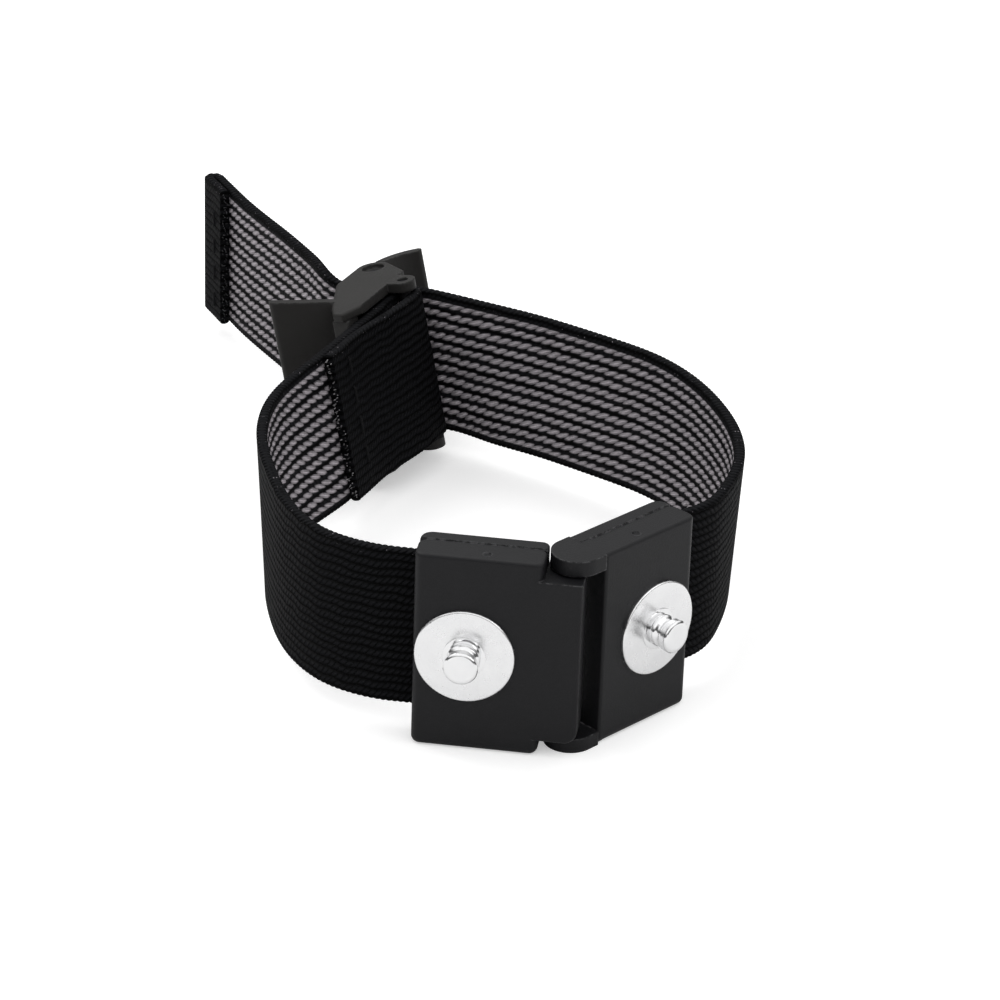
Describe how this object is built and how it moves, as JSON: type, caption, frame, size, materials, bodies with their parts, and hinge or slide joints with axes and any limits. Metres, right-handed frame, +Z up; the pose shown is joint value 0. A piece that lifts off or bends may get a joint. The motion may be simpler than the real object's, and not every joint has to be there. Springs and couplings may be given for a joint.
{
  "type": "esd wrist strap",
  "caption": "Grounding wrist strap: an elastic conductive band with a hinged snap buckle and a cam clasp that takes up the free end.",
  "frame": {"origin": "middle of the whole strap's footprint, on the surface that it stands on", "axes": "+Z up, along the band's width; +Y from the buckle towards the clasp and the free end; +X to the buckle's right half"},
  "size_m": [0.0712, 0.1196, 0.0249],
  "materials": {
    "housing": "fine moulded satin, dark grey-black",
    "snap": "bright nickel plate",
    "rivet": "plain",
    "skin_plate": "brushed stainless",
    "strap_clamp": "plain",
    "strap": "elastic twill, silver conductive rows on the inner face",
    "thread": "polyester thread",
    "clasp": "moulded satin, warm dark grey",
    "pins": "plain"
  },
  "bodies": {
    "left_half": {"left_front_shell": "housing", "left_rear_cover": "housing", "left_snap_disc": "snap", "left_snap_stud": "snap", "left_rivet": "rivet", "left_skin_plate": "skin_plate", "left_strap_clamp": "strap_clamp", "left_strap": "strap", "left_strap_stitching": "thread", "right_strap": "strap", "tail_stitching": "thread", "clasp_frame": "clasp", "clasp_pin": "pins", "strap_bar": "pins"},
    "right_half": {"right_front_shell": "housing", "right_rear_cover": "housing", "right_snap_disc": "snap", "right_snap_stud": "snap", "right_rivet": "rivet", "right_skin_plate": "skin_plate", "right_strap_clamp": "strap_clamp", "hinge_pin": "pins"},
    "clasp_lever": {"clasp_lever": "clasp"}
  },
  "joints": [
    {"name": "buckle_hinge", "type": "hinge", "parent": "left_half", "child": "right_half", "pos_m": [0.01401, -0.0545, 0], "axis": [0, 0, 1], "range_deg": [-53, 5], "deforming": ["right_strap"]},
    {"name": "clasp_lever_pivot", "type": "hinge", "parent": "left_half", "child": "clasp_lever", "pos_m": [-0.00882, 0.0266, 0.01181], "axis": [-0.1983, 0.0867, 0.9763], "range_deg": [0, 60]}
  ]
}
